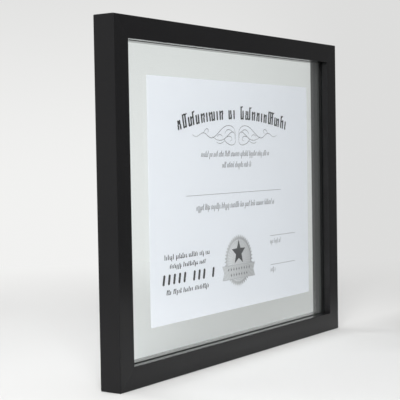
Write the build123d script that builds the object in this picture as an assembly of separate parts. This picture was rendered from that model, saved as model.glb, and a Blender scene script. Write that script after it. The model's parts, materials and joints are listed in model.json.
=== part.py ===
from build123d import *
import os

# A certificate frame of the floating kind: two panes of glass with a letter-size sheet between them,
# in a mitred square moulding with an open back. The panes are held from behind by a loose retaining
# frame under eight turn buttons. Lengths are in millimetres. +Z is up and the front faces -Y. The origin
# is at the centre of the face that the frame stands on, halfway through the moulding's depth.

# Panes, the standard pair that the frame is made for
pane_width = 355.6
pane_height = 279.4
pane_thickness = 2.0
pane_edge = 0.3  # ground off each edge
pane_play = 1.6  # on each side of a pane in its rabbet

# Sheet between the panes, laid in by hand
sheet_width = 279.4
sheet_height = 215.9
sheet_thickness = 0.2
sheet_air = 0.1  # between the sheet and each pane
sheet_right = 2.0  # of the middle of the opening
sheet_down = 0.6

# Moulding
face_width = 19.05
rabbet_width = 6.35
lip_depth = 6.6  # from the front to the glass
moulding_depth = 21.0
outer_round = 0.9  # on every outer edge
sight_round = 0.4  # on the edge round the glass

# Retaining frame behind the panes
retainer_play = 0.3  # between it and the rabbet's wall
retainer_ease = 0.5  # on its back inner edge

# Staples across the mitres of the retaining frame, from the back
staple_crown = 6.0
staple_leg = 6.0
staple_gauge = 0.6

# V nails across each mitre of the moulding, from the back
v_nail_leg = 6.0
v_nail_gauge = 0.6
v_nail_height = 10.0
v_nail_sink = 0.2
v_nail_insets = (3.0, 7.5)  # from both outer sides of a corner

# Turn buttons, each a flat pear on a pan-head screw
button_heel = 4.5  # radius round the screw
button_tip = 3.2  # radius of the end that holds the retaining frame
button_reach = 8.0  # from the screw to the middle of the tip
button_thickness = 1.2
button_ease = 0.3
button_air = 0.1  # below and above a button
button_bore_play = 0.08
button_spread_share = 0.5  # of a side's length, from one of its buttons to the other
screw_radius = 1.3
screw_length = 10.0
screw_point = 2.2
screw_head_radius = 2.9
screw_head_height = 1.7
screw_head_ease = 0.8
pilot_play = 0.05

# Sawtooth hangers, pressed into the wood by a pair of prongs at each end
hanger_length = 45.0
hanger_height = 9.5
hanger_gauge = 0.9
hanger_lift = 2.2  # room behind the teeth for a nail's head
hanger_tab = 8.0  # flat end that lies on the wood
hanger_ramp = 2.6  # along the hanger
tooth_count = 9
tooth_depth = 1.6
prong_width = 2.6
prong_length = 6.0

# Bumpers at the lower corners of the back
bumper_radius = 5.0
bumper_thickness = 3.5
bumper_ease = 0.9
bumper_from_side = 26.0

overrun = 1.0  # by which a cutter passes the face that it cuts

# Sizes that follow from the ones above
body_width = face_width - rabbet_width
rabbet_span_x = pane_width + 2 * pane_play
rabbet_span_z = pane_height + 2 * pane_play
frame_width = rabbet_span_x + 2 * body_width
frame_height = rabbet_span_z + 2 * body_width
sight_width = frame_width - 2 * face_width
sight_height = frame_height - 2 * face_width
middle_z = frame_height / 2
front_y = -moulding_depth / 2
back_y = moulding_depth / 2
front_glass_y = front_y + lip_depth
sheet_y = front_glass_y + pane_thickness + sheet_air
back_glass_y = sheet_y + sheet_thickness + sheet_air
retainer_y = back_glass_y + pane_thickness
pane_middle_z = body_width + pane_height / 2
fastener_line = body_width / 2
button_top = button_air + button_thickness + button_air

# For each side of the frame, the way out of it in X and Z, and the same for each corner
OUTWARD = {"top": (0, 1), "bottom": (0, -1), "left": (-1, 0), "right": (1, 0)}
CORNERS = ((-1, -1), (1, -1), (1, 1), (-1, 1))


def block(width, height, y_from, y_to, x_middle, z_middle):
    """A box between two depths, centred on a point of the frame's face."""
    depth = y_to - y_from
    return Pos(x_middle, y_from + depth / 2, z_middle) * Box(width, depth, height)


def mitred(ring, side, outer_width, outer_height, reach):
    """One side of a rectangular ring, cut free along the mitres that run in from its outer corners."""
    out_x, out_z = OUTWARD[side]
    ends = ((out_x + out_z, out_z + out_x), (out_x - out_z, out_z - out_x))

    def corner(end, inset):
        return (end[0] * (outer_width / 2 - inset), middle_z + end[1] * (outer_height / 2 - inset))

    first, second = ends
    outer = (corner(first, -overrun), corner(second, -overrun))
    inner = (corner(second, reach), corner(first, reach))
    outline = outer + inner
    wedge = extrude(Plane.XZ * Polygon(*outline, align=None), amount=moulding_depth, both=True)
    return ring & wedge


def back_place(side, along):
    """A place on the moulding's back: local X points at the glass and local Z away from the frame."""
    out_x, out_z = OUTWARD[side]
    x = out_x * (frame_width / 2 - fastener_line) + abs(out_z) * along
    z = middle_z + out_z * (frame_height / 2 - fastener_line) + abs(out_x) * along
    return Plane(origin=(x, back_y, z), x_dir=(-out_x, 0, -out_z), z_dir=(0, 1, 0))


def headed_pin(radius, length, point, head_radius, head_height, head_ease):
    """A screw or nail about local Z, whose head bears on local zero."""
    profile = Polygon(
        (0, -length),
        (radius, point - length),
        (radius, 0),
        (head_radius, 0),
        (head_radius, head_height - head_ease),
        (head_radius - head_ease, head_height),
        (0, head_height),
        align=None,
    )
    return revolve(Plane.XZ * profile, Axis.Z)


def v_nail_outline(end, inset):
    """The plan of one V nail: its fold on the mitre and a leg along each of the two lengths."""
    fold_in = inset + v_nail_gauge
    tip = inset + v_nail_leg
    plan = ((inset, inset), (tip, inset), (tip, fold_in), (fold_in, fold_in), (fold_in, tip), (inset, tip))
    side_x, side_z = end
    points = [(side_x * (frame_width / 2 - u), middle_z + side_z * (frame_height / 2 - v)) for u, v in plan]
    return Plane.XZ * Polygon(*points, align=None)


def v_nail_group(y_from, y_to):
    """Every V nail as a solid between two depths."""
    solids = []
    for end in CORNERS:
        for inset in v_nail_insets:
            flat = v_nail_outline(end, inset)
            solid = extrude(flat, amount=(y_to - y_from) / 2, both=True)
            solids.append(Pos(0, (y_from + y_to) / 2, 0) * solid)
    return solids


def staples():
    """A staple over each mitre of the retaining frame, its crown square to the mitre and sunk flush."""
    wire = staple_crown / 2
    bore = wire - staple_gauge
    outline = (
        (-wire, 0), (wire, 0), (wire, -staple_leg), (bore, -staple_leg),
        (bore, -staple_gauge), (-bore, -staple_gauge), (-bore, -staple_leg), (-wire, -staple_leg),
    )
    staple = extrude(Plane.XZ * Polygon(*outline, align=None), amount=staple_gauge / 2, both=True)
    from_side = body_width + retainer_play + (rabbet_width - retainer_play) / 2
    solids = []
    for side_x, side_z in CORNERS:
        x = side_x * (frame_width / 2 - from_side)
        z = middle_z + side_z * (frame_height / 2 - from_side)
        solids.append(Plane(origin=(x, back_y, z), x_dir=(side_x, 0, -side_z), z_dir=(0, 1, 0)) * staple)
    return solids


def turn_button():
    """One turn button lying on local zero, its screw's hole at the local origin and its tip along X."""
    heel = Circle(button_heel)
    tip = Pos(button_reach, 0) * Circle(button_tip)
    plate = extrude(make_hull(heel.edges() + tip.edges()), amount=button_thickness)
    plate = chamfer(plate.faces().sort_by(Axis.Z)[-1].edges(), button_ease)
    hole = Cylinder(screw_radius + button_bore_play, button_thickness + 2 * overrun)
    return plate - Pos(0, 0, button_thickness / 2) * hole


def prongs():
    """The four prongs of a hanger, pointing down local Z at the ends of local Y."""
    solids = []
    tip_x = (hanger_height - prong_width) / 2
    for x in (-tip_x, tip_x):
        outline = ((x - prong_width / 2, 0), (x + prong_width / 2, 0), (x, -prong_length))
        prong = extrude(Plane.XZ * Polygon(*outline, align=None), amount=hanger_gauge / 2, both=True)
        for y in (hanger_gauge / 2 - hanger_length / 2, hanger_length / 2 - hanger_gauge / 2):
            solids.append(Pos(0, y, 0) * prong)
    return solids


def sawtooth_hanger():
    """One hanger: tabs at the ends of local Y, a raised bridge between them, teeth on its +X edge."""
    end = hanger_length / 2
    foot = end - hanger_tab
    crest = foot - hanger_ramp
    top = hanger_lift + hanger_gauge
    half_under = ((crest, hanger_lift), (foot, 0), (end, 0))
    half_over = ((end, hanger_gauge), (foot, hanger_gauge), (crest, top))
    right = half_under + half_over
    left = tuple((-y, z) for y, z in reversed(right))
    strip = extrude(Plane.YZ * Polygon(*right, *left, align=None), amount=hanger_height / 2, both=True)
    pitch = 2 * crest / tooth_count
    edge_x = hanger_height / 2
    zigzag = [(edge_x + overrun, -crest), (edge_x, -crest)]
    for tooth in range(tooth_count):
        zigzag.append((edge_x - tooth_depth, (tooth + 0.5) * pitch - crest))
        zigzag.append((edge_x, (tooth + 1) * pitch - crest))
    zigzag.append((edge_x + overrun, crest))
    strip -= extrude(Polygon(*zigzag, align=None), amount=top + overrun, both=True)
    for prong in prongs():
        strip += prong
    return strip


def write(node, shape):
    """Writes a node's solids, and prints what they measure."""
    shape.label = node
    export_step(shape, os.path.join("parts", f"{node}.step"))
    size = shape.bounding_box().size
    print(f"{node:30} {size.X:7.2f} {size.Y:6.2f} {size.Z:7.2f} mm  {shape.volume / 1000:8.3f} cm3")


def group(solids):
    return Compound(children=[solid for part in solids for solid in part.solids()])


# Where the fasteners go
button_places = {}
for side, low, high in (
    ("top", "left", "right"),
    ("bottom", "left", "right"),
    ("left", "lower", "upper"),
    ("right", "lower", "upper"),
):
    side_length = frame_width if OUTWARD[side][0] == 0 else frame_height
    half_spread = button_spread_share * side_length / 2
    button_places[f"{side}_{low}"] = back_place(side, -half_spread)
    button_places[f"{side}_{high}"] = back_place(side, half_spread)
hanger_places = {"landscape": back_place("top", 0), "portrait": back_place("right", 0)}
bumper_places = {
    "left": back_place("bottom", bumper_from_side - frame_width / 2),
    "right": back_place("bottom", frame_width / 2 - bumper_from_side),
}

# Moulding, as one ring with its rabbet
ring = block(frame_width, frame_height, front_y, back_y, 0, middle_z)
ring = fillet(ring.edges(), outer_round)
ring -= block(sight_width, sight_height, front_y - overrun, back_y + overrun, 0, middle_z)
ring -= block(rabbet_span_x, rabbet_span_z, front_glass_y, back_y + overrun, 0, middle_z)
front_face = ring.faces().filter_by(Axis.Y).sort_by(Axis.Y)[0]
ring = fillet(front_face.inner_wires()[0].edges(), sight_round)

# Retaining frame, as one ring whose inner wall is in line with the lip
retainer_width = rabbet_span_x - 2 * retainer_play
retainer_height = rabbet_span_z - 2 * retainer_play
retainer = block(retainer_width, retainer_height, retainer_y, back_y, 0, middle_z)
retainer -= block(sight_width, sight_height, retainer_y - overrun, back_y + overrun, 0, middle_z)
back_face = retainer.faces().filter_by(Axis.Y).sort_by(Axis.Y)[-1]
retainer = chamfer(back_face.inner_wires()[0].edges(), retainer_ease)

# Fasteners at their places
nail_back = back_y - v_nail_sink
v_nails = v_nail_group(nail_back - v_nail_height, nail_back)
v_slots = v_nail_group(nail_back - v_nail_height, back_y + overrun)
screw = headed_pin(
    screw_radius, screw_length, screw_point, screw_head_radius, screw_head_height, screw_head_ease
)
screws = [place * Pos(0, 0, button_top) * screw for place in button_places.values()]
pilot_depth = screw_length - button_top
pilot = Cylinder(screw_radius + pilot_play, 2 * pilot_depth)
pilots = [place * pilot for place in button_places.values()]
prong_slots = [place * prong for place in hanger_places.values() for prong in prongs()]

# The nodes
os.makedirs("parts", exist_ok=True)
for side, node in (
    ("top", "top_rail"),
    ("bottom", "bottom_rail"),
    ("left", "left_stile"),
    ("right", "right_stile"),
):
    length = mitred(ring, side, frame_width, frame_height, face_width + overrun)
    for cutter in v_slots + pilots + prong_slots:
        length -= cutter
    write(node, length)
for side in OUTWARD:
    strip = mitred(retainer, side, retainer_width, retainer_height, rabbet_width + overrun)
    for staple in staples():
        strip -= staple
    write(f"retainer_{side}", strip)
write("retainer_staples", group(staples()))

for node, y in (("front_glass", front_glass_y), ("back_glass", back_glass_y)):
    pane = block(pane_width, pane_height, y, y + pane_thickness, 0, pane_middle_z)
    write(node, chamfer(pane.edges(), pane_edge))
sheet = block(
    sheet_width, sheet_height, sheet_y, sheet_y + sheet_thickness, sheet_right, middle_z - sheet_down
)
write("certificate", sheet)

button = turn_button()
for name, place in button_places.items():
    write(f"turn_button_{name}", place * Pos(0, 0, button_air) * button)
write("button_screws", group(screws))
hanger = sawtooth_hanger()
for name, place in hanger_places.items():
    write(f"hanger_{name}", place * hanger)
write("corner_v_nails", group(v_nails))

bumper = extrude(Circle(bumper_radius), amount=bumper_thickness)
bumper = chamfer(bumper.edges().sort_by(Axis.Z)[-1], bumper_ease)
for name, place in bumper_places.items():
    write(f"bumper_{name}", place * bumper)

print(f"frame {frame_width:.2f} x {moulding_depth:.2f} x {frame_height:.2f} mm")
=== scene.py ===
# %% [markdown]
# A float frame for a certificate: black moulding, two clear panes, and a sheet held between
# them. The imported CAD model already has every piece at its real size. This file is the studio
# work on top of it: the finish of each surface, the print on the sheet, and screws with a real
# cross recess. Each step has a note like this one, and the code that does it follows.

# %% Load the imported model
import json
import math
import random

import bmesh
import bpy
from mathutils import Matrix, Vector


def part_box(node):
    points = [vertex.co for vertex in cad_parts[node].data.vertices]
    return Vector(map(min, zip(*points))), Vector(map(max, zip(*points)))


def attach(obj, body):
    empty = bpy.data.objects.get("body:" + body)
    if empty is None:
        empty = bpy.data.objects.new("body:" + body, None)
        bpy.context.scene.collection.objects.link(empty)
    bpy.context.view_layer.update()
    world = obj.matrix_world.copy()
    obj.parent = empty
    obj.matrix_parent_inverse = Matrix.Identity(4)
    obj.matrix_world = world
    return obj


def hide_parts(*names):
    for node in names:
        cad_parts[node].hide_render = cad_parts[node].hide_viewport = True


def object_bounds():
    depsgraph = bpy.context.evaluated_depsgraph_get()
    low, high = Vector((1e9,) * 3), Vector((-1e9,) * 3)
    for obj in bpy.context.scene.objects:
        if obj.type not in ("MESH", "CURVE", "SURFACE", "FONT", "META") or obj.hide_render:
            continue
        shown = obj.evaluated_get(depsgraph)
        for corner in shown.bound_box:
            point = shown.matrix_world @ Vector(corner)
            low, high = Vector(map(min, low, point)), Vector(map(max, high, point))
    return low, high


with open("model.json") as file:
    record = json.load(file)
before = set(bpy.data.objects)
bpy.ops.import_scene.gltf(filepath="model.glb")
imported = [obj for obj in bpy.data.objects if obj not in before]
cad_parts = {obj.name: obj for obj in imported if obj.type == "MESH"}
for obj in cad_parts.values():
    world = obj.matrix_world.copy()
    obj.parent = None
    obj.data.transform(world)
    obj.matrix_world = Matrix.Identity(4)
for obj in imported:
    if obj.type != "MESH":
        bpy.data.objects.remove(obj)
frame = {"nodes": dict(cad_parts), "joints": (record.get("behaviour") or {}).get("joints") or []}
cad_low, cad_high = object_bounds()
MM = 0.001
print("pieces in the CAD model:", len(frame["nodes"]), "box:", cad_low, cad_high)

# %% [markdown]
# The camera stands left of the frame, a little above the middle of it, and so far round that the
# moulding's outer side shows. Its place, its direction and the long lens were worked out from
# the straight edges of the frame and the sheet, so the edges in the render fall where they fall
# in the photograph. Places in the scene are in metres, and only finishes and print are worked
# out in millimetres.

# %% Camera
PHOTO_PIXELS = 400
FOCAL_PIXELS = 1112.83
SENSOR_MM = 36.0
CAMERA_PLACE = Vector((-0.8940, -0.5699, 0.1955))
CAMERA_FORWARD = Vector((0.8256, 0.5627, -0.0433))
CAMERA_UP = Vector((0.0452, 0.0106, 0.9989))
camera_data = bpy.data.cameras.new("photo_camera")
camera_data.sensor_width = SENSOR_MM
camera_data.lens = FOCAL_PIXELS / PHOTO_PIXELS * SENSOR_MM
camera = bpy.data.objects.new("photo_camera", camera_data)
forward = CAMERA_FORWARD.normalized()
right = forward.cross(CAMERA_UP).normalized()
turn = Matrix((right, right.cross(forward), -forward)).transposed()
camera.matrix_world = Matrix.Translation(CAMERA_PLACE) @ turn.to_4x4()
bpy.context.scene.collection.objects.link(camera)
bpy.context.scene.camera = camera
bpy.context.scene.view_settings.view_transform = "Standard"
print("lens:", round(camera_data.lens, 1), "mm")

# %% [markdown]
# Materials are node trees, and most nodes in them are plain arithmetic. A small class wraps one
# socket and takes part in Python's own maths, so `1 - mask` adds the Math node and its links.
# `add` makes any other kind of node: its settings come first, because some of them change which
# sockets the node has, and then its sockets get a value or a wire.


# %% Shader maths
class Wire:
    """One socket of a material's tree, usable in maths as a number is."""

    def __init__(self, socket):
        self.socket = socket

    def add(self, kind, settings=None, inputs=None, out=0):
        """Adds a node of any kind to the same tree and returns one of its outputs."""
        node = self.socket.id_data.nodes.new(kind)
        for name, value in (settings or {}).items():
            setattr(node, name, value)
        for name, value in (inputs or {}).items():
            plug(node.inputs[name], value)
        return Wire(node.outputs[out])

    def maths(self, operation, first, second=0.0):
        return self.add("ShaderNodeMath", {"operation": operation}, {0: first, 1: second})

    def __add__(self, other):
        return self.maths("ADD", self, other)

    def __radd__(self, other):
        return self.maths("ADD", other, self)

    def __sub__(self, other):
        return self.maths("SUBTRACT", self, other)

    def __rsub__(self, other):
        return self.maths("SUBTRACT", other, self)

    def __mul__(self, other):
        return self.maths("MULTIPLY", self, other)

    def __rmul__(self, other):
        return self.maths("MULTIPLY", other, self)

    def __truediv__(self, other):
        return self.maths("DIVIDE", self, other)

    def __pow__(self, other):
        return self.maths("POWER", self, other)

    def __abs__(self):
        return self.maths("ABSOLUTE", self)

    def sine(self):
        return self.maths("SINE", self)

    def turn_from(self, up):
        """The angle of a place, given its distance across and up, measured from straight up."""
        return self.maths("ARCTAN2", self, up)

    def smooth(self, low, high):
        """0 below low, 1 above high, and a soft step between them."""
        steps = {"From Min": low, "From Max": high, "Value": self}
        return self.add("ShaderNodeMapRange", {"interpolation_type": "SMOOTHSTEP"}, steps)

    def noise(self, size, detail):
        """Cloudy noise from 0 to 1, whose lumps are about size long in this place's units."""
        looks = {"Vector": self, "Scale": 1.0 / size, "Detail": detail}
        return self.add("ShaderNodeTexNoise", None, looks)

    def stretched(self, factors):
        """The same place with each axis scaled, which draws a pattern out along an axis."""
        return self.add("ShaderNodeMapping", None, {"Vector": self, "Scale": factors})

    def axis(self, letter):
        return self.add("ShaderNodeSeparateXYZ", None, {"Vector": self}, "XYZ".index(letter))


def plug(socket, value):
    if isinstance(value, Wire):
        socket.id_data.links.new(value.socket, socket)
    else:
        socket.default_value = value


print("shader maths ready")

# %% [markdown]
# Every finish starts the same way: a new material, its shader, and the place on the object in
# millimetres, so that each pattern below can be given its real size. Colours blend through a Mix
# node. It has a set of sockets for each kind of data, under the same names, so the ones for
# colours go by number.

# %% Starting a finish
MIX_FIRST = 6
MIX_SECOND = 7
MIX_RESULT = 2


def grey(value, blueness=1.0):
    """An opaque grey, whose blue is a little more than its red and green if asked for."""
    return (value, value, value * blueness, 1.0)


def blend_colours(mask, first, second):
    """The first colour where mask is 0, and the second where it is 1."""
    mixed = {"Factor": mask, MIX_FIRST: first, MIX_SECOND: second}
    return mask.add("ShaderNodeMix", {"data_type": "RGBA"}, mixed, MIX_RESULT)


def new_finish(name):
    """A material, its shader, and the place on the object in millimetres."""
    material = bpy.data.materials.new(name)
    material.use_nodes = True
    tree = material.node_tree
    metres = Wire(tree.nodes.new("ShaderNodeTexCoord").outputs["Object"])
    place = metres.add("ShaderNodeVectorMath", {"operation": "SCALE"}, {0: metres, "Scale": 1 / MM})
    return material, tree.nodes["Principled BSDF"], place


def dress(shader, **looks):
    """Sets the shader's sockets by name, with an underscore for each space."""
    for name, value in looks.items():
        plug(shader.inputs[name.replace("_", " ")], value)


def relief(height):
    """A bump from a height in millimetres."""
    return height.add("ShaderNodeBump", None, {"Distance": MM, "Height": height})


BLACK = grey(0.0)
WHITE = grey(1.0)
print("ready to mix finishes, from", BLACK, "to", WHITE)

# %% [markdown]
# The frame stands in a round white studio: a floor that curves up into a wall on every side, so
# that no view of the frame meets an edge. The wall glows a little by itself, and less the higher
# up. Low down behind the frame a spot makes it brighter, and towards the front right it is dark,
# as the far end of a real room is. On that side the floor's paper is painted darker as well, a
# painted shade. Black lacquer and glass are mostly mirrors, and this is what they show. A
# direction is judged by its cosine: 1 straight towards a side, less further round.

# %% Studio paint
FLOOR_WHITE = (0.722, 0.722, 0.717, 1.0)
# Painted shade: the floor's colour on its dark side, towards the front right
FLOOR_PAINTED_SHADE = grey(0.30)
GLOW_COLOUR = (1.0, 1.0, 0.99, 1.0)
# Each pair below is where a soft step starts and ends: a distance in millimetres, or a cosine
GLOW_START = (300.0, 950.0)  # across the floor
WALL_LOW = 0.725
WALL_HIGH = 0.55
WALL_FADE = (700.0, 1700.0)  # up the wall
SPOT_SIDE = math.radians(50)
SPOT_EDGE = (0.90, 0.975)
SPOT_FADE = (0.0, 1150.0)  # up the wall
SPOT_GLOW = 0.16
DARK_SIDE = math.radians(-30)
DARK_WALL_EDGE = (0.75, 0.95)
DARK_SHARE = 0.68
# Where the painted shade on the floor lies: its side, and how far out it starts and is full
DARK_FLOOR_EDGE = (0.87, 0.98)
DARK_FLOOR_START = (80.0, 550.0)  # across the floor


def facing_side(place, far, side):
    """The cosine of the angle between a place's direction from the middle and a side."""
    return (place.axis("X") * math.cos(side) + place.axis("Y") * math.sin(side)) / far


def studio_paint():
    """Lit floor paper with painted shade at the front right, which turns into a glow of its own up
    the wall.
    """
    material, shader, place = new_finish("studio_paper")
    flat = place.stretched((1.0, 1.0, 0.0))
    far = flat.add("ShaderNodeVectorMath", {"operation": "LENGTH"}, {0: flat}, 1)
    height = place.axis("Z")
    dark = facing_side(place, far, DARK_SIDE)
    spot = facing_side(place, far, SPOT_SIDE).smooth(*SPOT_EDGE) * (1 - height.smooth(*SPOT_FADE))
    wall = WALL_LOW - height.smooth(*WALL_FADE) * (WALL_LOW - WALL_HIGH)
    glow = (wall + spot * SPOT_GLOW) * (1 - dark.smooth(*DARK_WALL_EDGE) * DARK_SHARE)
    glow_colour = blend_colours(glow, BLACK, GLOW_COLOUR)
    emission = glow.add("ShaderNodeEmission", None, {"Color": glow_colour})
    # Painted shade: from a little way out from the frame towards the front right, the floor paper's
    # colour is darker, so that the black lacquer mirrors a darker floor there
    floor_painted_shade = dark.smooth(*DARK_FLOOR_EDGE) * far.smooth(*DARK_FLOOR_START)
    paper = blend_colours(floor_painted_shade, FLOOR_WHITE, FLOOR_PAINTED_SHADE)
    dress(shader, Base_Color=paper, Roughness=0.9, Specular_IOR_Level=0.1)
    onto_wall = far.smooth(*GLOW_START)
    halves = {0: onto_wall, 1: Wire(shader.outputs[0]), 2: emission}
    mixed = onto_wall.add("ShaderNodeMixShader", None, halves)
    plug(material.node_tree.nodes["Material Output"].inputs["Surface"], mixed)
    return material


studio_paper = studio_paint()
print("studio paint:", len(studio_paper.node_tree.nodes), "nodes")

# %% [markdown]
# Anything round starts as its section: a vertex, drawn out into straight runs and arcs, and then
# spun. The studio's section is drawn from the middle of the floor outwards and up the wall. The
# screws further on are drawn and spun in the same way.

# %% Studio sweep
FLOOR_RADIUS = 2.3
CURVE_RADIUS = 0.7
CURVE_STEPS = 12
WALL_HEIGHT = 3.0
ROUND_STEPS = 96
MIDDLE = (0.0, 0.0, 0.0)
UPWARDS = (0.0, 0.0, 1.0)
FRONTWARDS = (0.0, -1.0, 0.0)
WELD_DISTANCE = 1e-6


def new_object(name, mesh, material):
    made = bpy.data.objects.new(name, mesh)
    made.data.materials.append(material)
    bpy.context.scene.collection.objects.link(made)
    return made


def mesh_of(name, shape):
    mesh = bpy.data.meshes.new(name)
    shape.to_mesh(mesh)
    shape.free()
    return mesh


def run(shape, start, move):
    """Draws one straight run of a section from a vertex, and returns its far end."""
    end = bmesh.ops.extrude_vert_indiv(shape, verts=[start])["verts"][0]
    bmesh.ops.translate(shape, verts=[end], vec=move)
    return end


def arc(shape, start, centre, axis, angle, steps):
    """Draws an arc of a section from a vertex, and returns its far end."""
    swept = bmesh.ops.spin(shape, geom=[start], cent=centre, axis=axis, angle=angle, steps=steps)
    return next(g for g in swept["geom_last"] if isinstance(g, bmesh.types.BMVert))


def spin_round(shape, steps):
    """Turns a section into a full round shape about the Z axis, and closes its poles."""
    section = shape.verts[:] + shape.edges[:]
    turned = {"cent": MIDDLE, "axis": UPWARDS, "angle": math.tau, "steps": steps, "use_merge": True}
    bmesh.ops.spin(shape, geom=section, **turned)
    bmesh.ops.remove_doubles(shape, verts=shape.verts[:], dist=WELD_DISTANCE)
    bmesh.ops.recalc_face_normals(shape, faces=shape.faces[:])


section = bmesh.new()
edge = run(section, section.verts.new(MIDDLE), (FLOOR_RADIUS, 0.0, 0.0))
curve_middle = (FLOOR_RADIUS, 0.0, CURVE_RADIUS)
rise = arc(section, edge, curve_middle, FRONTWARDS, math.pi / 2, CURVE_STEPS)
run(section, rise, (0.0, 0.0, WALL_HEIGHT))
spin_round(section, ROUND_STEPS)
sweep = new_object("studio_sweep", mesh_of("studio_sweep", section), studio_paper)
sweep.data.shade_smooth()
print("studio sweep:", len(sweep.data.polygons), "faces")

# %% [markdown]
# The light is one large soft lamp, high on the camera's left, with weaker ones above and behind.
# The left lamp is near enough that the sheet is brighter at its left edge than at its right
# edge, and a grid in front of it, which Blender calls its spread, keeps its light off the floor
# below it. A dim even sky fills the shadows.

# %% Lamps
SKY_STRENGTH = 0.36


def soft_lamp(name, place, aim, size, watts, fan=180.0):
    lamp = bpy.data.lights.new(name, "AREA")
    lamp.shape = "DISK"
    lamp.size = size
    lamp.energy = watts
    lamp.spread = math.radians(fan)
    holder = bpy.data.objects.new(name, lamp)
    towards = (Vector(aim) - Vector(place)).to_track_quat("-Z", "Y")
    holder.matrix_world = Matrix.Translation(place) @ towards.to_matrix().to_4x4()
    bpy.context.scene.collection.objects.link(holder)


soft_lamp(
    "left_lamp", place=(-1.65, -0.98, 1.2), aim=(-0.05, 0.0, 0.15), size=1.2, watts=13.7, fan=90.0
)
soft_lamp("top_lamp", place=(0.2, -0.1, 2.4), aim=MIDDLE, size=1.6, watts=9.0)
soft_lamp("back_lamp", place=(-0.2, 1.85, 1.5), aim=(0.0, 0.0, 0.15), size=1.2, watts=11.0)
sky = bpy.data.worlds.new("studio_sky")
sky.use_nodes = True
sky.node_tree.nodes["Background"].inputs["Color"].default_value = WHITE
sky.node_tree.nodes["Background"].inputs["Strength"].default_value = SKY_STRENGTH
bpy.context.scene.world = sky

# %% [markdown]
# The moulding is wood under black satin lacquer, sprayed and cured. Close up it shows three
# things: a trace of the grain telegraphing through, which runs along each length, the fine
# orange peel of sprayed lacquer, and a hairline at each mitre, where two lengths meet. The
# open back is only stained, so it is duller and browner. All of it is worked out from the place
# on the object, so it needs no picture and no unwrapping. A noise is named with the size of its
# lumps in millimetres and its detail, a height is in millimetres, and a dulling is how much
# rougher a pattern makes the surface.

# %% Black lacquer
GRAIN_SHARE = 0.03  # of a place's distance along the grain, which draws the noise out into fibres
GRAIN_STRETCH = {"X": (GRAIN_SHARE, 1.0, 1.0), "Z": (1.0, 1.0, GRAIN_SHARE)}
LACQUER_GRAIN = (0.9, 4.0)
ORANGE_PEEL = (1.6, 1.0)
HAZE = (45.0, 3.0)
LACQUER_BLACKS = ((0.0070, 0.0070, 0.0076, 1.0), (0.0092, 0.0090, 0.0096, 1.0))
BARE_BROWNS = ((0.010, 0.009, 0.008, 1.0), (0.040, 0.032, 0.026, 1.0))
BARE_START = 0.6  # in front of the wood's back
BARE_END = 0.1
GRAIN_HEIGHT = 0.004
PEEL_HEIGHT = 0.003
SEAM_WIDTH = 0.25
SEAM_DEPTH = 0.05
BARE_GRAIN_HEIGHT = 0.03
LACQUER_ROUGHNESS = 0.11
HAZE_DULLING = 0.04
GRAIN_DULLING = 0.03
BARE_DULLING = 0.4
LACQUER_SPECULAR = 0.20

wood_low, wood_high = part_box("bottom_rail")[0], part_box("top_rail")[1]
outer_half_width = cad_high.x / MM
outer_half_height = (wood_high.z - wood_low.z) / 2 / MM
wood_back = wood_high.y / MM


def mitre_line(place, width):
    """1 on the hairlines where the four lengths meet, at 45 degrees."""
    middle_height = outer_half_height  # the frame stands on the floor, at height 0
    across = outer_half_width - abs(place.axis("X"))
    up = outer_half_height - abs(place.axis("Z") - middle_height)
    return 1 - (abs(across - up) / math.sqrt(2)).smooth(0.0, width)


def black_lacquer(name, along):
    material, shader, place = new_finish(name)
    fibres = place.stretched(GRAIN_STRETCH[along]).noise(*LACQUER_GRAIN)
    peel = place.noise(*ORANGE_PEEL)
    haze = place.noise(*HAZE)
    seam = mitre_line(place, SEAM_WIDTH)
    bare = place.axis("Y").smooth(wood_back - BARE_START, wood_back - BARE_END)
    sprayed = fibres * GRAIN_HEIGHT + peel * PEEL_HEIGHT - seam * SEAM_DEPTH
    height = sprayed + bare * fibres * BARE_GRAIN_HEIGHT
    stain = blend_colours(fibres, *BARE_BROWNS)
    lacquer = blend_colours(haze, *LACQUER_BLACKS)
    colour = blend_colours(bare, lacquer, stain)
    rough = LACQUER_ROUGHNESS + haze * HAZE_DULLING + fibres * GRAIN_DULLING + bare * BARE_DULLING
    dress(shader, Base_Color=colour, Roughness=rough, Normal=relief(height))
    dress(shader, Specular_IOR_Level=LACQUER_SPECULAR)
    return material


rail_lacquer = black_lacquer("black_lacquer_rails", "X")
stile_lacquer = black_lacquer("black_lacquer_stiles", "Z")
outer_size = [round(outer_half_width * 2, 1), round(outer_half_height * 2, 1)]
print("lacquered moulding, across and up:", outer_size, "mm")

# %% [markdown]
# The retaining frame behind the panes is cheaper work: the same wood, wiped with black stain,
# with its pores still open. It shows through the glass as a slightly greyer black.

# %% Stained wood
STAIN_GRAIN = (0.7, 5.0)
STAIN_PORES = (0.35, 2.0)
PORE_EDGE = (0.62, 0.72)
STAIN_BLACKS = ((0.044, 0.044, 0.045, 1.0), (0.062, 0.061, 0.060, 1.0))
STAIN_GRAIN_HEIGHT = 0.003
PORE_DEPTH = 0.008
STAIN_ROUGHNESS = 0.12
STAIN_GRAIN_DULLING = 0.05


def stained_wood(name, along):
    material, shader, place = new_finish(name)
    fibres = place.stretched(GRAIN_STRETCH[along]).noise(*STAIN_GRAIN)
    pores = place.stretched(GRAIN_STRETCH[along]).noise(*STAIN_PORES).smooth(*PORE_EDGE)
    height = fibres * STAIN_GRAIN_HEIGHT - pores * PORE_DEPTH
    colour = blend_colours(fibres, *STAIN_BLACKS)
    rough = STAIN_ROUGHNESS + fibres * STAIN_GRAIN_DULLING
    dress(shader, Base_Color=colour, Roughness=rough, Specular_IOR_Level=0.5, Normal=relief(height))
    return material


rail_stain = stained_wood("black_stain_rails", "X")
stile_stain = stained_wood("black_stain_stiles", "Z")
print("wood finishes: lacquer and stain, one of each along X and Z")

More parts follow.
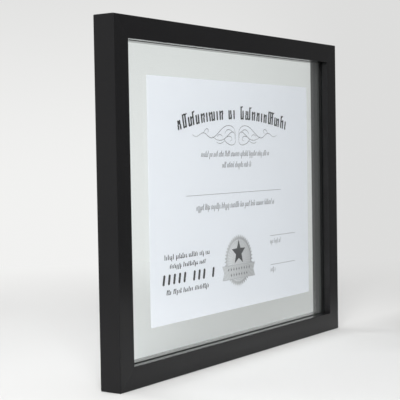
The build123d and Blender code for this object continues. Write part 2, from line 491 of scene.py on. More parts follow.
# %% [markdown]
# A thin pane hardly bends the light, but it mirrors the room more and more the flatter you look
# at it. Real refraction would cost samples and darken what is behind, so the pane is a mix of
# clear, faintly green film and mirror. How much mirror is worked out from the facing angle:
# 3 % straight on, 5 % at 56 degrees, nearly all at grazing. A Fresnel node would count the back
# of each pane as the inside of solid glass and mirror far too much there.

# %% Float glass
FACE_ON_MIRROR = 0.027
GRAZING_POWER = 4.5
FILM_COLOUR = (0.990, 1.0, 0.998, 1.0)
GLASS_ROUGHNESS = 0.02


def float_glass():
    material, shader, place = new_finish("float_glass")
    tree = material.node_tree
    tilt = place.add("ShaderNodeLayerWeight", None, {"Blend": 0.5}, "Facing")
    mirror = FACE_ON_MIRROR + (1 - FACE_ON_MIRROR) * tilt ** GRAZING_POWER
    film = place.add("ShaderNodeBsdfTransparent", None, {"Color": FILM_COLOUR})
    gloss = {"Color": WHITE, "Roughness": GLASS_ROUGHNESS}
    shine = place.add("ShaderNodeBsdfAnisotropic", None, gloss)
    mixed = mirror.add("ShaderNodeMixShader", None, {0: mirror, 1: film, 2: shine})
    plug(tree.nodes["Material Output"].inputs["Surface"], mixed)
    tree.nodes.remove(shader)
    return material


clear_glass = float_glass()
print("glass: a film and a mirror, mixed by angle")

# %% [markdown]
# The sheet is smooth bright card. Office papers are a little blue, because they are brightened.
# It shows short fibres when seen close, and a very slight cockle from lying between the panes.
# The ink lies on it as a film one hundredth of a millimetre thick, with the mottle of toner.

# %% Paper and ink
CARD_FIBRES = (0.5, 4.0)
CARD_FIBRE_STRETCH = (1.0, 1.0, 3.0)
CARD_CLOUD = (9.0, 2.0)
COCKLE = (80.0, 1.0)
CARD_WHITES = ((0.812, 0.821, 0.878, 1.0), (0.846, 0.852, 0.903, 1.0))
CLOUD_SHARE = 0.5  # of the card's unevenness, and the fibres make the rest
FIBRE_HEIGHT = 0.004
COCKLE_HEIGHT = 0.35
INK_MOTTLE = (0.6, 3.0)
INK_BLUENESS = 1.08
MOTTLE_HEIGHT = 0.003


def bright_card():
    material, shader, place = new_finish("bright_card")
    fibres = place.stretched(CARD_FIBRE_STRETCH).noise(*CARD_FIBRES)
    cloud = place.noise(*CARD_CLOUD)
    cockle = place.noise(*COCKLE)
    shade = fibres * (1 - CLOUD_SHARE) + cloud * CLOUD_SHARE
    colour = blend_colours(shade, *CARD_WHITES)
    height = fibres * FIBRE_HEIGHT + cockle * COCKLE_HEIGHT
    dress(shader, Base_Color=colour, Roughness=0.55, Specular_IOR_Level=0.3, Normal=relief(height))
    return material


def ink(name, dark, light):
    """Printed ink, mottled between its darkest and its lightest grey."""
    material, shader, place = new_finish(name)
    mottle = place.noise(*INK_MOTTLE)
    colour = blend_colours(mottle, grey(dark, INK_BLUENESS), grey(light, INK_BLUENESS))
    dress(shader, Base_Color=colour, Roughness=0.5, Normal=relief(mottle * MOTTLE_HEIGHT))
    return material


card = bright_card()
black_ink = ink("black_ink", dark=0.008, light=0.020)
dark_ink = ink("dark_ink", dark=0.045, light=0.080)
grey_ink = ink("grey_ink", dark=0.16, light=0.22)
pale_ink = ink("pale_ink", dark=0.40, light=0.47)
print("inks: black and three greys")

# %% [markdown]
# Turn buttons, hangers, screws, staples and V nails are stamped or drawn steel with bright zinc
# plating. The plating is silvery with faint blue and straw clouds, the rolling of the steel
# leaves fine lines, and handling dulls it in patches.

# %% Zinc plate
ZINC_CLOUDS = (5.0, 3.0)
ZINC_BLUE_TO_STRAW = ((0.50, 0.54, 0.60, 1.0), (0.68, 0.66, 0.60, 1.0))
ROLLING_LINES = (0.25, 3.0)
ROLLING_STRETCH = (0.15, 1.0, 1.0)
LINE_HEIGHT = 0.006
LINE_DULLING = 0.12
HANDLED_PATCHES = (2.2, 4.0)
PATCH_EDGE = (0.45, 0.75)
PATCH_HEIGHT = 0.004
PATCH_DULLING = 0.18
ZINC_ROUGHNESS = 0.24


def zinc_plate():
    material, shader, place = new_finish("zinc_plate")
    clouds = place.noise(*ZINC_CLOUDS)
    lines = place.stretched(ROLLING_STRETCH).noise(*ROLLING_LINES)
    patches = place.noise(*HANDLED_PATCHES).smooth(*PATCH_EDGE)
    colour = blend_colours(clouds, *ZINC_BLUE_TO_STRAW)
    rough = ZINC_ROUGHNESS + lines * LINE_DULLING + patches * PATCH_DULLING
    height = lines * LINE_HEIGHT + patches * PATCH_HEIGHT
    dress(shader, Base_Color=colour, Metallic=1.0, Roughness=rough, Normal=relief(height))
    return material


zinc = zinc_plate()
print("zinc:", len(zinc.node_tree.nodes), "nodes")

# %% [markdown]
# The two bumpers are moulded rubber. Its surface has a fine speckle from the mould, and dust
# settles on it in pale patches.

# %% Rubber
RUBBER_SPECKLE = (0.3, 3.0)
SPECKLE_HEIGHT = 0.02
RUBBER_DUST = (2.5, 4.0)
DUST_EDGE = (0.5, 0.8)
DUST_DULLING = 0.15
RUBBER_ROUGHNESS = 0.72
CLEAN_AND_DUSTY = (grey(0.012), (0.040, 0.040, 0.042, 1.0))


def moulded_rubber():
    material, shader, place = new_finish("moulded_rubber")
    speckle = place.noise(*RUBBER_SPECKLE)
    dust = place.noise(*RUBBER_DUST).smooth(*DUST_EDGE)
    colour = blend_colours(dust, *CLEAN_AND_DUSTY)
    rough = RUBBER_ROUGHNESS + dust * DUST_DULLING
    dress(shader, Base_Color=colour, Roughness=rough, Normal=relief(speckle * SPECKLE_HEIGHT))
    return material


rubber = moulded_rubber()
print("rubber:", len(rubber.node_tree.nodes), "nodes")

# %% [markdown]
# Each CAD piece keeps its mesh and only gets its finish. The rails carry the grain along X and
# the stiles along Z, as the sticks of wood do in a mitred frame. All hardware is zinc.

# %% Finish of each CAD piece
FINISHES = {
    "top_rail": rail_lacquer,
    "bottom_rail": rail_lacquer,
    "left_stile": stile_lacquer,
    "right_stile": stile_lacquer,
    "retainer_top": rail_stain,
    "retainer_bottom": rail_stain,
    "retainer_left": stile_stain,
    "retainer_right": stile_stain,
    "front_glass": clear_glass,
    "back_glass": clear_glass,
    "certificate": card,
    "bumper_left": rubber,
    "bumper_right": rubber,
}
for name, node in frame["nodes"].items():
    for slot in node.material_slots:
        slot.material = FINISHES.get(name, zinc)
print("finished:", len(frame["nodes"]), "pieces,", len(FINISHES), "of them not zinc")

# %% [markdown]
# A pan-head screw has a domed head, a cross recess, and a thread. The CAD screw is a plain
# stand-in, so a better one takes its place at the pivot of each turn button. First the CAD screw
# at the first pivot is measured, so that the new one fills the same space. Screws lie along Y.

# %% Measuring the CAD screw
NEAR_PIVOT = 5 * MM
RIM_SHARE = 0.9  # of the head's radius, beyond which a vertex belongs to the head's rim
pivots = [Vector(joint["pos_m"]) for joint in frame["joints"]]
head_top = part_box("button_screws")[1].y - pivots[0].y
first_screw = [
    v.co - pivots[0]
    for v in frame["nodes"]["button_screws"].data.vertices
    if math.dist((v.co.x, v.co.z), (pivots[0].x, pivots[0].z)) < NEAR_PIVOT
]
head_radius = max(math.hypot(v.x, v.z) for v in first_screw)
shank_radius = max(math.hypot(v.x, v.z) for v in first_screw if v.y < 0)
tip_depth = min(v.y for v in first_screw)
head_seat = min(v.y for v in first_screw if math.hypot(v.x, v.z) > RIM_SHARE * head_radius)
head_height = head_top - head_seat
print("head radius and height:", round(head_radius / MM, 2), round(head_height / MM, 2), "mm")
print("shank radius and tip:", round(shank_radius / MM, 2), round(tip_depth / MM, 2), "mm")

# %% [markdown]
# Head and shank are one section spun round. It runs from the tip up the core, out under the
# head, up the head's rim and over the dome. The runs of rim and dome are shares: how far each
# goes in, of the head's radius, and how far up, of the rim's height or the dome's.

# %% Screw blank
CORE_SHARE = 0.74  # of the shank's radius, which the thread's crest reaches
POINT_SHARE = 0.24  # of the depth of the tip
DOME_SHARE = 0.45  # of the head's height
RIM_RUN_SHARES = ((0.0, 0.5), (0.08, 0.5))
DOME_RUN_SHARES = ((0.3, 0.75), (0.62, 0.25))
ROUND_SIDES = 28


def screw_blank():
    """Head and core, standing on the Z axis with the moulding's back at zero."""
    shape = bmesh.new()
    core = shank_radius * CORE_SHARE
    point = -tip_depth * POINT_SHARE
    rim = head_height * (1 - DOME_SHARE)
    dome = head_height - rim
    tip = shape.verts.new((0.0, 0.0, tip_depth))
    cone = run(shape, tip, (core, 0.0, point))
    neck = run(shape, cone, (0.0, 0.0, -tip_depth - point + head_seat))
    corner = run(shape, neck, (head_radius - core, 0.0, 0.0))
    for runs, rise in ((RIM_RUN_SHARES, rim), (DOME_RUN_SHARES, dome)):
        for inwards, upwards in runs:
            corner = run(shape, corner, (-head_radius * inwards, 0.0, rise * upwards))
    spin_round(shape, ROUND_SIDES)
    print("screw blank:", len(shape.faces), "faces")
    return shape


blank = screw_blank()

# %% [markdown]
# The thread is a wedge spun round the core while it moves along, which is how a die cuts it. The
# wedge's foot is sunk a little into the core, so that no gap shows between them.

# %% Screw thread
THREAD_PITCH = 1.1 * MM
THREAD_TURNS = 5
STEPS_IN_A_TURN = 14
FOOT_SHARE = 0.92  # of the core's radius
FLANK_SHARE = 0.22  # of the pitch


def screw_thread():
    """A wedge wound round the core from just under the surface to just above the point."""
    shape = bmesh.new()
    foot_radius = shank_radius * CORE_SHARE * FOOT_SHARE
    flank = -THREAD_PITCH * FLANK_SHARE
    foot = shape.verts.new((foot_radius, 0.0, -THREAD_PITCH))
    crest = run(shape, foot, (shank_radius - foot_radius, 0.0, flank))
    back = run(shape, crest, (foot_radius - shank_radius, 0.0, flank))
    shape.edges.new((back, foot))
    shape.faces.new((foot, crest, back))
    steps = THREAD_TURNS * STEPS_IN_A_TURN
    moved = Vector((0.0, 0.0, -THREAD_PITCH * THREAD_TURNS / steps))
    wound = {"cent": MIDDLE, "axis": UPWARDS, "angle": math.tau * THREAD_TURNS, "steps": steps}
    bmesh.ops.spin(shape, geom=shape.faces[:], dvec=moved, **wound)
    bmesh.ops.recalc_face_normals(shape, faces=shape.faces[:])
    print("thread:", len(shape.faces), "faces")
    return shape


thread = mesh_of("thread", screw_thread())

# %% [markdown]
# The recess is a tapered cross, cut out of the head with a boolean. Its cutter is two crossed
# bars, whose lower ends are drawn in towards the middle.

# %% Cross recess
SPAN_SHARE = 1.15  # of the head's radius
BAR_SHARE = 0.24  # of the cross's span
TAPER_SHARE = 0.55  # of a bar's length and width, at the bottom
RECESS_SHARE = 0.62  # of the head's height


def cross_cutter(span, depth):
    """Two crossed bars that narrow towards the bottom of the recess."""
    shape = bmesh.new()
    # Each bar is centred on the head's top, so it is twice as tall as the recess is deep
    for angle in (0.0, math.pi / 2):
        scale = Matrix.Diagonal((span, span * BAR_SHARE, depth * 2, 1.0))
        place = Matrix.Translation((0, 0, head_top)) @ Matrix.Rotation(angle, 4, "Z") @ scale
        arm = bmesh.ops.create_cube(shape, size=1.0, matrix=place)["verts"]
        bottom = [v for v in arm if v.co.z < head_top]
        narrow = Matrix.Diagonal((TAPER_SHARE, TAPER_SHARE, 1.0))
        bmesh.ops.transform(shape, matrix=narrow.to_4x4(), verts=bottom)
    return shape


def carved(body, cutter):
    """The body's mesh with the cutter's space taken out of it."""
    block = new_object("screw_blank", mesh_of("screw_blank", body), zinc)
    tool = new_object("cross_cutter", mesh_of("cross_cutter", cutter), zinc)
    cut = block.modifiers.new("recess", "BOOLEAN")
    cut.operation = "DIFFERENCE"
    cut.use_self = True
    cut.object = tool
    bpy.context.view_layer.update()
    seen = block.evaluated_get(bpy.context.evaluated_depsgraph_get())
    mesh = bpy.data.meshes.new_from_object(seen)
    for spent in (block, tool):
        bpy.data.objects.remove(spent)
    return mesh


one_screw = carved(blank, cross_cutter(head_radius * SPAN_SHARE, head_height * RECESS_SHARE))
print("screw with its recess:", len(one_screw.polygons), "faces")

# %% [markdown]
# One screw was made, and it is copied to the eight pivots, with its slots turned a little
# differently each time, as they are after real tightening.

# %% Screws at the pivots
SLOT_SEED = 7
SHARP_ANGLE = math.radians(35)
dice = random.Random(SLOT_SEED)
screws = bmesh.new()
for pivot in pivots:
    before = set(screws.verts)
    screws.from_mesh(one_screw)
    screws.from_mesh(thread)
    fresh = [v for v in screws.verts if v not in before]
    slot_turn = Matrix.Rotation(dice.uniform(0, math.pi / 2), 4, "Z")
    stand = Matrix.Translation(pivot) @ Matrix.Rotation(-math.pi / 2, 4, "X") @ slot_turn
    bmesh.ops.transform(screws, matrix=stand, verts=fresh)
screw_set = new_object("cross_recess_screws", mesh_of("cross_recess_screws", screws), zinc)
screw_set.data.shade_smooth()
screw_set.data.set_sharp_from_angle(angle=SHARP_ANGLE)
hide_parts("button_screws")
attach(screw_set, "frame")
print("screws:", len(pivots), "with", len(screw_set.data.polygons), "faces together")

# %% [markdown]
# The print is drawn flat, in millimetres from the middle of the sheet, and then laid on the
# sheet by one matrix: its right goes along X, its up along Z, and its thickness towards the
# viewer. Each layer of ink is lifted about a hundredth of a millimetre above the last, and all
# stay inside the air gap between the sheet and the front pane. The sheet carries no words. Its
# lines are rows of plain pen strokes, which have the rhythm of writing and say nothing.

# %% Laying ink on the sheet
LAYER = 0.015
FIRST_LAYER = 0.5  # of a layer clear of the sheet
INK_THICKNESS = 0.010
sheet_low, sheet_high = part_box("certificate")
sheet_middle = (sheet_low + sheet_high) / 2
on_sheet = (
    Matrix.Translation((sheet_middle.x, sheet_low.y, sheet_middle.z))
    @ Matrix.Rotation(math.pi / 2, 4, "X")
    @ Matrix.Scale(MM, 4)
)


def printed(name, shape, material):
    """Makes a shape that already lies on the sheet a piece of the frame's body."""
    piece = new_object(name, mesh_of(name, shape), material)
    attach(piece, "frame")
    print(name, "has", len(piece.data.polygons), "faces")


def lay(name, shape, material, layer=0):
    """Gives flat shapes their ink's thickness, and lays them on the sheet as one piece."""
    flat = shape.faces[:]
    bmesh.ops.recalc_face_normals(shape, faces=flat)
    turned_down = [f for f in flat if f.normal.z < 0]
    bmesh.ops.reverse_faces(shape, faces=turned_down)
    raised = bmesh.ops.extrude_face_region(shape, geom=flat, use_keep_orig=True)["geom"]
    tops = [g for g in raised if isinstance(g, bmesh.types.BMVert)]
    bmesh.ops.translate(shape, verts=tops, vec=(0.0, 0.0, INK_THICKNESS))
    bmesh.ops.recalc_face_normals(shape, faces=shape.faces[:])
    lifted = Matrix.Translation((0.0, 0.0, LAYER * (layer + FIRST_LAYER)))
    bmesh.ops.transform(shape, matrix=on_sheet @ lifted, verts=shape.verts[:])
    printed(name, shape, material)


print("sheet:", (sheet_high - sheet_low) / MM, "mm")

# %% [markdown]
# The print is put together from two simple marks: a straight bar, and the stroke of a broad pen.
# The stroke is a hexagon drawn out lengthwise, which gives it lozenge ends.

# %% Bars and pen strokes
HEXAGON_WIDTH = math.sqrt(3)  # across the flats, of a hexagon whose radius is 1


def at(x, y, tilt=0.0):
    return Matrix.Translation((x, y, 0.0)) @ Matrix.Rotation(tilt, 4, "Z")


def bar(shape, place, length, width):
    """A straight bar that starts at place and runs along its X axis."""
    # The grid's size is half its side, so it is 1 by 1 until the matrix stretches it
    size = Matrix.Translation((length / 2, 0.0, 0.0)) @ Matrix.Diagonal((length, width, 1.0, 1.0))
    bmesh.ops.create_grid(shape, x_segments=1, y_segments=1, size=0.5, matrix=place @ size)


def pen_stroke(shape, place, width, height):
    """An upright stroke with the pointed ends of a broad pen, standing on place."""
    radius = width / HEXAGON_WIDTH
    made = bmesh.ops.create_circle(shape, cap_ends=True, segments=6, radius=radius)["verts"]
    for v in made:
        v.co.y += math.copysign(height / 2 - radius, v.co.y) + height / 2
    bmesh.ops.transform(shape, matrix=place, verts=made)


print("marks: bars and pen strokes")

# %% [markdown]
# The heading is an arch of upright strokes in three groups. A seeded dice chooses between whole,
# broken and tall ones. A tall one has a flag at its top, and short slanted links join the
# strokes in clusters, at the head or at the foot.

# %% Arched heading
HEADING_SEED = 21
ARCH_RADIUS = 433.0
ARCH_MIDDLE = (3.4, 72.2)
ARCH_GROUPS = ((-94.6, -21.5), (-11.2, 0.0), (9.8, 97.8))
STEM_PITCH = 3.5
STEM_WIDTH = 2.2
STEM_KINDS = ("whole", "whole", "whole", "broken", "tall")
CLUSTER_SIZES = (1, 2, 2, 2, 3)
CLUSTER_GAP = 1.5
SMALL_HEIGHT = 9.0
TALL_HEIGHT = 12.9
LOWER_PART_SHARE = 0.58  # of a broken stem's height, so that its parts overlap
UPPER_PART_SHARE = 0.5
BREAK_SHIFT = 0.6  # of the upper part, to either side
LINK_SIZE = (1.3, 3.2)  # width and length of flags and links
FLAG_SHIFT = 0.2
FLAG_DROP = 1.6  # below the top of a tall stem
FLAG_TILT = -1.1
LINK_SHIFT = 0.6
LINK_LIFT = 0.2  # above the foot, for a link at the foot
LINK_DROP = 2.6  # below the top, for a link at the head
LINK_TILT = -0.9


def on_arch(x, rise=0.0):
    """The place on the arch above x, turned square to it."""
    angle = (x - ARCH_MIDDLE[0]) / ARCH_RADIUS
    centre = at(ARCH_MIDDLE[0], ARCH_MIDDLE[1] - ARCH_RADIUS)
    return centre @ Matrix.Rotation(-angle, 4, "Z") @ at(0.0, ARCH_RADIUS + rise)


def stem(shape, x, kind, dice):
    foot = on_arch(x)
    if kind == "broken":
        shift = dice.choice((-BREAK_SHIFT, BREAK_SHIFT))
        upper_foot = on_arch(x + shift, SMALL_HEIGHT * UPPER_PART_SHARE)
        pen_stroke(shape, foot, STEM_WIDTH, SMALL_HEIGHT * LOWER_PART_SHARE)
        pen_stroke(shape, upper_foot, STEM_WIDTH, SMALL_HEIGHT * UPPER_PART_SHARE)
    elif kind == "tall":
        flag_foot = foot @ at(FLAG_SHIFT, TALL_HEIGHT - FLAG_DROP, FLAG_TILT)
        pen_stroke(shape, foot, STEM_WIDTH, TALL_HEIGHT)
        pen_stroke(shape, flag_foot, *LINK_SIZE)
    else:
        pen_stroke(shape, foot, STEM_WIDTH, SMALL_HEIGHT)


def heading_group(shape, left, end, dice):
    """Stems in clusters of one to three, each cluster joined at its head or foot."""
    x = left
    while x <= end:
        cluster = dice.choice(CLUSTER_SIZES)
        for number in range(cluster):
            stem(shape, x, dice.choice(STEM_KINDS), dice)
            if number + 1 < cluster:
                rise = dice.choice((LINK_LIFT, SMALL_HEIGHT - LINK_DROP))
                link_foot = on_arch(x + LINK_SHIFT, rise) @ at(0.0, 0.0, LINK_TILT)
                pen_stroke(shape, link_foot, *LINK_SIZE)
            x += STEM_PITCH
        x += CLUSTER_GAP


dice = random.Random(HEADING_SEED)
heading = bmesh.new()
for left, end in ARCH_GROUPS:
    heading_group(heading, left, end, dice)
lay("print_heading", heading, black_ink)

# %% [markdown]
# Below the heading is a pair of pen scrolls, the kind that has closed the title of printed
# certificates for two centuries. Each line is a smooth NURBS curve through a few listed
# points, and its radius swells in the middle of each stroke, as a pointed pen does under
# pressure. A flattened curve makes the line, and the left half mirrors the right one.

# %% Scrolls
SCROLL_MIDDLE = (2.0, 57.4)
SCROLL_PEN = 0.19
PEN_END_SHARE = 0.75  # of the pen's radius, at the ends of a line
PEN_SWELL_SHARE = 0.9  # of the pen's radius, added in the middle
FLAT_SHARE = 0.03  # of the line's thickness, which is left when it is pressed flat
LINE_STEPS = 5  # between one of a line's points and the next
LINE_ORDER = 4  # a cubic curve
SCROLL_LINES = (
    ((2.6, -3.0), (2.6, 2.5), (5.0, 7.2), (12.5, 9.4), (21.0, 8.6), (29.0, 4.2), (36.5, -0.8),
     (43.5, -3.4), (49.0, -1.8), (54.0, 1.8), (59.5, 2.2), (65.0, -1.0), (70.0, -2.2), (75.0, 0.2)),
    ((2.6, -2.6), (2.2, -6.6), (5.4, -9.6), (12.0, -9.6), (18.5, -7.4), (23.4, -4.6), (19.5, -1.8),
     (13.5, -0.6), (8.6, -2.4), (8.8, -5.2), (12.6, -5.6)),
    ((4.2, -4.2), (3.0, 0.4), (5.8, 3.6), (11.0, 2.6), (16.5, -0.6), (23.0, -4.4), (30.5, -5.4),
     (37.5, -4.2), (42.5, -1.2)),
    ((6.8, 1.8), (10.0, 4.8), (15.0, 5.8), (19.5, 4.2), (21.5, 1.0)),
    ((22.0, -5.4), (26.0, -8.0), (31.5, -8.8), (35.5, -6.4)),
    ((25.5, -1.6), (28.2, 1.2), (32.4, 1.0), (34.6, -1.8)),
    ((57.5, 1.4), (54.5, 5.4), (50.5, 6.4), (47.6, 4.2), (50.6, 1.8)),
)


def pen_line(points, pen):
    """A line of ink along a smooth curve, thickest in the middle of its length."""
    curve = bpy.data.curves.new("pen_line", "CURVE")
    curve.dimensions = "3D"
    curve.bevel_depth = pen
    curve.bevel_resolution = 0
    curve.use_fill_caps = True
    curve.resolution_u = LINE_STEPS
    spline = curve.splines.new("NURBS")
    spline.points.add(len(points) - 1)
    for number, (x, y) in enumerate(points):
        share = number / (len(points) - 1)
        spline.points[number].co = (x, y, 0.0, 1.0)
        spline.points[number].radius = PEN_END_SHARE + PEN_SWELL_SHARE * math.sin(math.pi * share)
    spline.order_u = LINE_ORDER
    spline.use_endpoint_u = True
    holder = bpy.data.objects.new("pen_line", curve)
    mesh = bpy.data.meshes.new_from_object(holder)
    bpy.data.objects.remove(holder)
    return mesh


scrolls = bmesh.new()
for points in SCROLL_LINES:
    scrolls.from_mesh(pen_line(points, SCROLL_PEN))
half = scrolls.verts[:] + scrolls.edges[:] + scrolls.faces[:]
# A negative merge distance leaves the two halves apart
bmesh.ops.mirror(scrolls, geom=half, matrix=Matrix.Identity(4), axis="X", merge_dist=-1.0)
pressed = Matrix.Diagonal((1.0, 1.0, FLAT_SHARE, 1.0))
lifted = Matrix.Translation((*SCROLL_MIDDLE, LAYER))
bmesh.ops.transform(scrolls, matrix=on_sheet @ lifted @ pressed, verts=scrolls.verts[:])
bmesh.ops.recalc_face_normals(scrolls, faces=scrolls.faces[:])
printed("print_scrolls", scrolls, grey_ink)

# %% [markdown]
# The body text of the sheet is set in rows of slanted strokes, grouped like words. One function
# draws a row between two ends, and what sets one hand apart from another is given to it: the
# height of the small strokes, how far the tall ones rise above or hang below, the pitch, the
# pen's width, the slant, and the share of strokes that a hook joins to the next.

# %% Rows of strokes
FIRST_WORD_STROKES = (3, 8)
WORD_STROKES = (3, 9)
WORD_GAP_SHARE = 0.9  # of the pitch
HOOK_LENGTH_SHARE = 0.8  # of the pitch
HOOK_WIDTH_SHARE = 0.5  # of the pen's width
HOOK_RISE_SHARE = 0.9  # of the small strokes' height, for a hook at the head
HOOK_TILT = 0.6


def word_row(shape, left, end, base, small, reach, pitch, pen, slant, joined, dice):
    """A row of pen strokes from left to end, broken into groups of three to nine."""
    x = left
    strokes_left = dice.randint(*FIRST_WORD_STROKES)
    while x < end:
        rise = dice.choice((0.0, 0.0, 0.0, reach))  # one in four rises
        drop = dice.choice((0.0, 0.0, 0.0, 0.0, reach))  # one in five would hang
        if rise:
            drop = 0.0
        foot = at(x - drop * math.tan(slant), base - drop, -slant)
        pen_stroke(shape, foot, pen, small + rise + drop)
        if dice.random() < joined:
            hook = dice.choice((0.0, small))
            start = at(x + hook * math.tan(slant), base + hook * HOOK_RISE_SHARE, HOOK_TILT)
            bar(shape, start, pitch * HOOK_LENGTH_SHARE, pen * HOOK_WIDTH_SHARE)
        strokes_left -= 1
        x += pitch
        if strokes_left == 0:
            strokes_left = dice.randint(*WORD_STROKES)
            x += pitch * WORD_GAP_SHARE


print("rows of strokes ready, in words of up to", max(WORD_STROKES))

# %% [markdown]
# The light rows stand below the scrolls and under the long rule, and two captions in a smaller
# hand stand under the short rules. Each row is its left end, its right end and its base.

# %% Light rows
LIGHT_SEED = 5
SLANT = math.radians(14)
LIGHT_HAND = {"small": 3.7, "reach": 2.2, "pitch": 1.75, "pen": 0.68, "slant": SLANT, "joined": 0.6}
LIGHT_ROWS = ((-59.3, 61.0, 37.2), (-24.5, 26.5, 26.8), (-68.2, 68.5, -11.2))
CAPTION_HAND = {"small": 3.2, "reach": 1.9, "pitch": 1.5, "pen": 0.5, "slant": SLANT, "joined": 0.4}
CAPTION_ROWS = ((61.0, 80.5, -50.8), (61.0, 70.5, -79.0))
dice = random.Random(LIGHT_SEED)
light_rows = bmesh.new()
for rows, hand in ((LIGHT_ROWS, LIGHT_HAND), (CAPTION_ROWS, CAPTION_HAND)):
    for left, end, base in rows:
        word_row(light_rows, left, end, base, dice=dice, **hand)
lay("print_light_rows", light_rows, dark_ink)

# %% [markdown]
# Three ruled lines wait for a name, a signature and a date. Each is its left end, its height on
# the sheet and its length.

# %% Rules
RULES = ((-84.0, 2.7, 167.4), (61.2, -43.0, 50.0), (61.2, -72.1, 49.6))
RULE_WIDTH = 0.4
rules = bmesh.new()
for left, base, length in RULES:
    bar(rules, at(left, base), length, RULE_WIDTH)
lay("print_rules", rules, grey_ink)

# %% [markdown]
# The lower left holds a block of four heavy rows, the third one larger. Its strokes are upright
# or nearly so, and a wide pen gives them their dark weight.

# %% Heavy rows
HEAVY_SEED = 11
HEAVY_ROWS = (
    {"left": -118.0, "end": -47.0, "base": -52.0, "small": 3.4, "reach": 1.5, "pitch": 2.5,
     "pen": 1.1, "slant": 0.0, "joined": 0.5},
    {"left": -110.6, "end": -55.5, "base": -59.8, "small": 3.1, "reach": 1.5, "pitch": 2.6,
     "pen": 1.2, "slant": 0.2, "joined": 0.5},
    {"left": -121.0, "end": -40.0, "base": -74.0, "small": 9.8, "reach": 0.0, "pitch": 7.9,
     "pen": 3.0, "slant": 0.2, "joined": 0.0},
    {"left": -116.0, "end": -48.0, "base": -82.6, "small": 3.3, "reach": 1.5, "pitch": 2.6,
     "pen": 1.2, "slant": 0.2, "joined": 0.5},
)
dice = random.Random(HEAVY_SEED)
heavy = bmesh.new()
for row in HEAVY_ROWS:
    word_row(heavy, dice=dice, **row)
lay("print_heavy_rows", heavy, black_ink)

# %% [markdown]
# The seal is printed to look like a foil one: a disc with a serrated edge, a plain star, and a
# ribbon across its lower half. Foil catches the light on one side only, so its ink goes from
# pale to grey across the disc, with rays from the middle out to the teeth.

# %% Foil ink
SEAL_MIDDLE = (1.8, -62.3)
SEAL_RADIUS = 25.2
TEETH = 44
RAY_SHARE = 0.3  # of the darkening, and the side of the disc makes the rest
RAY_HEIGHT = 0.004
FOIL_BLUENESS = 1.03


def foil_ink(name, pale, dark):
    """Ink that darkens from left to right, crossed by rays from the middle of the seal."""
    material, shader, place = new_finish(name)
    across = place.axis("X") - (sheet_middle.x / MM + SEAL_MIDDLE[0])
    up = place.axis("Z") - (sheet_middle.z / MM + SEAL_MIDDLE[1])
    rays = (across.turn_from(up) * TEETH).sine() * 0.5 + 0.5  # from 0 to 1
    shade = across.smooth(-SEAL_RADIUS, SEAL_RADIUS) * (1 - RAY_SHARE) + rays * RAY_SHARE
    colour = blend_colours(shade, grey(pale, FOIL_BLUENESS), grey(dark, FOIL_BLUENESS))
    dress(shader, Base_Color=colour, Roughness=0.4, Normal=relief(rays * RAY_HEIGHT))
    return material


rim_ink = foil_ink("foil_rim_ink", pale=0.56, dark=0.31)
field_ink = foil_ink("foil_field_ink", pale=0.74, dark=0.45)
ribbon_ink = foil_ink("foil_ribbon_ink", pale=0.64, dark=0.44)
print("foil inks: rim, field and ribbon")

# %% [markdown]
# A circle with every second corner pulled in makes the seal's serrated edge, and the same trick
# with ten corners makes the star. A plain disc, two fine rings and the star lie on it in layers.

# %% Seal
TOOTH_SHARE = 0.13  # of the seal's radius
FIELD_SHARE = 0.80
FIELD_SIDES = 120
RING_SHARES = (0.82, 0.74)
RING_WIDTH = 0.3
RING_SIDES = 64
STAR_RADIUS = 12.5
STAR_POINTS = 5
STAR_CUT_SHARE = 0.58  # of the star's radius
STAR_RISE = 7.6


def toothed_disc(shape, place, radius, teeth, depth_share):
    """A disc whose edge has this many teeth, each as deep as this share of the radius."""
    made = bmesh.ops.create_circle(shape, cap_ends=True, segments=teeth * 2, radius=radius)["verts"]
    for v in made[1::2]:
        v.co *= 1 - depth_share
    bmesh.ops.transform(shape, matrix=place, verts=made)


def ring(shape, place, radius, width):
    """A flat ring, made from a disc by insetting its edge and taking the middle out."""
    whole = {"cap_ends": True, "segments": RING_SIDES, "radius": radius}
    made = bmesh.ops.create_circle(shape, **whole)["verts"]
    disc = made[0].link_faces[0]
    bmesh.ops.inset_individual(shape, faces=[disc], thickness=width, use_even_offset=True)
    bmesh.ops.transform(shape, matrix=place, verts=made)
    bmesh.ops.transform(shape, matrix=place, verts=[v for v in disc.verts if v not in made])
    bmesh.ops.delete(shape, geom=[disc], context="FACES_ONLY")


seal_place = at(*SEAL_MIDDLE)
rosette = bmesh.new()
toothed_disc(rosette, seal_place, SEAL_RADIUS, TEETH, TOOTH_SHARE)
lay("print_seal_rosette", rosette, rim_ink)
field = bmesh.new()
disc = {"cap_ends": True, "segments": FIELD_SIDES, "radius": SEAL_RADIUS * FIELD_SHARE}
bmesh.ops.create_circle(field, matrix=seal_place, **disc)
lay("print_seal_field", field, field_ink, layer=1)
rings = bmesh.new()
for share in RING_SHARES:
    ring(rings, seal_place, SEAL_RADIUS * share, RING_WIDTH)
lay("print_seal_lines", rings, pale_ink, layer=2)
star = bmesh.new()
toothed_disc(star, seal_place @ at(0.0, STAR_RISE), STAR_RADIUS, STAR_POINTS, STAR_CUT_SHARE)
lay("print_seal_star", star, dark_ink, layer=2)

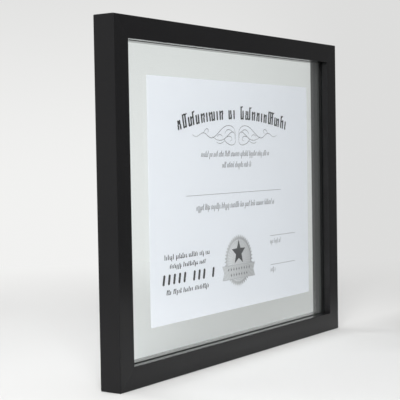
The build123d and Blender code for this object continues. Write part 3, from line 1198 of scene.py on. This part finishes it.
# %% [markdown]
# The ribbon lies on top. Its ends are notched by pulling the middle of each end inwards, and a
# copy in flat pale ink, a little larger, gives it an outline. Two rows of plain lozenges fill
# it, each a circle of four corners drawn out upwards. A row is its height and its count.

# %% Ribbon
RIBBON_PLACE = (0.2, -10.4)
RIBBON_LENGTH = 57.0
RIBBON_WIDTH = 12.6
OUTLINE_WIDTH = 0.5
END_SHARE = 0.49  # of the length from the middle, beyond which a vertex is at an end
CENTRE_SHARE = 0.1  # of the width, within which a vertex is on the centre line
NOTCH_SHARE = 0.9  # of the way out, to where the notch is pulled
LOZENGE_ROWS = ((2.7, 9), (-2.7, 7))
LOZENGE_PITCH = 4.6
LOZENGE_HALF_WIDTH = 1.1
LOZENGE_HALF_HEIGHT = 1.7


def ribbon(shape, place, length, width):
    """A band with a notch in each end."""
    size = place @ Matrix.Diagonal((length, width, 1.0, 1.0))
    made = bmesh.ops.create_grid(shape, x_segments=8, y_segments=2, size=0.5, matrix=size)["verts"]
    for v in made:
        away = place.inverted() @ v.co
        if abs(away.x) > length * END_SHARE and abs(away.y) < width * CENTRE_SHARE:
            v.co = place @ Vector((away.x * NOTCH_SHARE, away.y, 0.0))


ribbon_place = seal_place @ at(*RIBBON_PLACE)
outline = bmesh.new()
ribbon(outline, ribbon_place, RIBBON_LENGTH + 2 * OUTLINE_WIDTH, RIBBON_WIDTH + 2 * OUTLINE_WIDTH)
lay("print_ribbon_outline", outline, pale_ink, layer=3)
band = bmesh.new()
ribbon(band, ribbon_place, RIBBON_LENGTH, RIBBON_WIDTH)
lay("print_ribbon", band, ribbon_ink, layer=4)
lozenges = bmesh.new()
drawn_out = Matrix.Diagonal((LOZENGE_HALF_WIDTH, LOZENGE_HALF_HEIGHT, 1.0, 1.0))
for height, count in LOZENGE_ROWS:
    for number in range(count):
        spot = ribbon_place @ at((number - (count - 1) / 2) * LOZENGE_PITCH, height) @ drawn_out
        bmesh.ops.create_circle(lozenges, cap_ends=True, segments=4, radius=1.0, matrix=spot)
lay("print_ribbon_lozenges", lozenges, grey_ink, layer=5)
